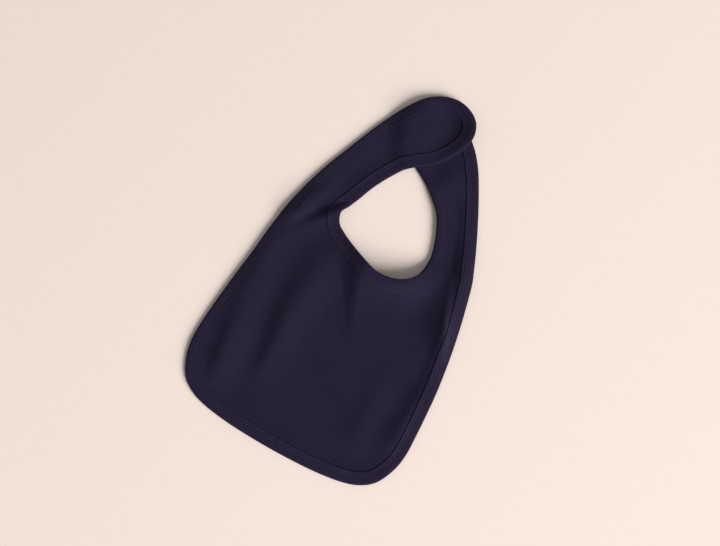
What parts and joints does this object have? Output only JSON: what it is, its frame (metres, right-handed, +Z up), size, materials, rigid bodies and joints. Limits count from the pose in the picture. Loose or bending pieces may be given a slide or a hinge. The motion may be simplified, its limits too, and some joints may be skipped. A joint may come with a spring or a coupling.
{
  "type": "baby bib",
  "caption": "Soft knit baby bib, rounded at the bottom, with a bound edge and overlapping neck straps closed by a hook-and-loop patch.",
  "frame": {"origin": "under the middle of the outline, on the surface the bib rests on", "axes": "+Y from the bottom edge to the neck closure, +Z up from the resting surface, +X to the right when the front is seen from above"},
  "size_m": [0.2189, 0.3604, 0.0136],
  "materials": {
    "knit": "matte navy cotton interlock knit",
    "binding": "matte navy knit tape, folded over the edge",
    "thread": "navy spun polyester sewing thread",
    "hook_tape": "moulded nylon hooks on a woven tape",
    "loop_tape": "brushed nylon loop pile"
  },
  "bodies": {
    "bib_body": {"front_panel": "knit", "back_panel": "knit", "outer_binding": "binding", "neck_binding": "binding", "body_needle_threads": "thread", "body_looper_thread": "thread"},
    "top_strap": {"top_strap_front": "knit", "top_strap_back": "knit", "top_strap_outer_binding": "binding", "top_strap_neck_binding": "binding", "top_strap_needle_threads": "thread", "top_strap_looper_thread": "thread"},
    "tab": {"tab_front": "knit", "tab_back": "knit", "tab_binding": "binding", "tab_needle_threads": "thread", "tab_looper_thread": "thread", "hook_patch": "hook_tape", "hook_patch_stitches": "thread"},
    "lower_strap": {"lower_strap_front": "knit", "lower_strap_back": "knit", "lower_strap_binding": "binding", "lower_strap_needle_threads": "thread", "lower_strap_looper_thread": "thread", "loop_patch": "loop_tape", "loop_patch_stitches": "thread"}
  },
  "joints": [
    {"name": "top_strap_lift", "type": "hinge", "parent": "bib_body", "child": "top_strap", "pos_m": [-0.0675, 0.036, 0.005], "axis": [1, 0, 0], "range_deg": [0, 130]},
    {"name": "tab_peel", "type": "hinge", "parent": "top_strap", "child": "tab", "pos_m": [-0.0305, 0.12375, 0.0097], "axis": [0.5017, -0.8626, -0.0649], "range_deg": [0, 80]},
    {"name": "lower_strap_swing", "type": "hinge", "parent": "bib_body", "child": "lower_strap", "pos_m": [0.0885, 0.036, 0.0031], "axis": [0, 0, -1], "range_deg": [0, 16]}
  ]
}
